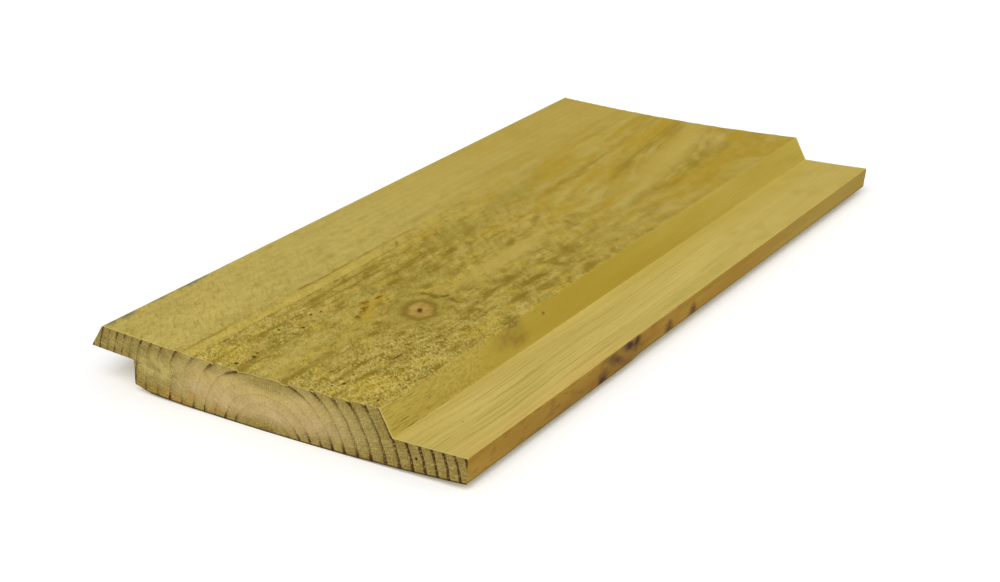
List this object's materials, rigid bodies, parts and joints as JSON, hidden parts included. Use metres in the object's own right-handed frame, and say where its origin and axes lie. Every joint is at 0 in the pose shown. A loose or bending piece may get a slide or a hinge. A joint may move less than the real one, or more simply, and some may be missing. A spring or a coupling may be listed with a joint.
{
  "type": "cladding board",
  "caption": "Softwood cladding board with a sawn face, a bevelled lip over a rebate, and a tongue below a sloped shoulder, so that boards lap on a wall.",
  "frame": {"origin": "under the middle of the board, on the level that it rests on", "axes": "+X across the board from the lip to the tongue, +Y along the grain, +Z out of the sawn face"},
  "size_m": [0.1436, 0.275, 0.0201],
  "materials": {
    "treated_softwood": "green-tinted treated softwood: face left rough from the saw, shoulder, tongue and laps planed, ends sawn"
  },
  "bodies": {
    "root": {"cladding_board": "treated_softwood"}
  },
  "joints": []
}
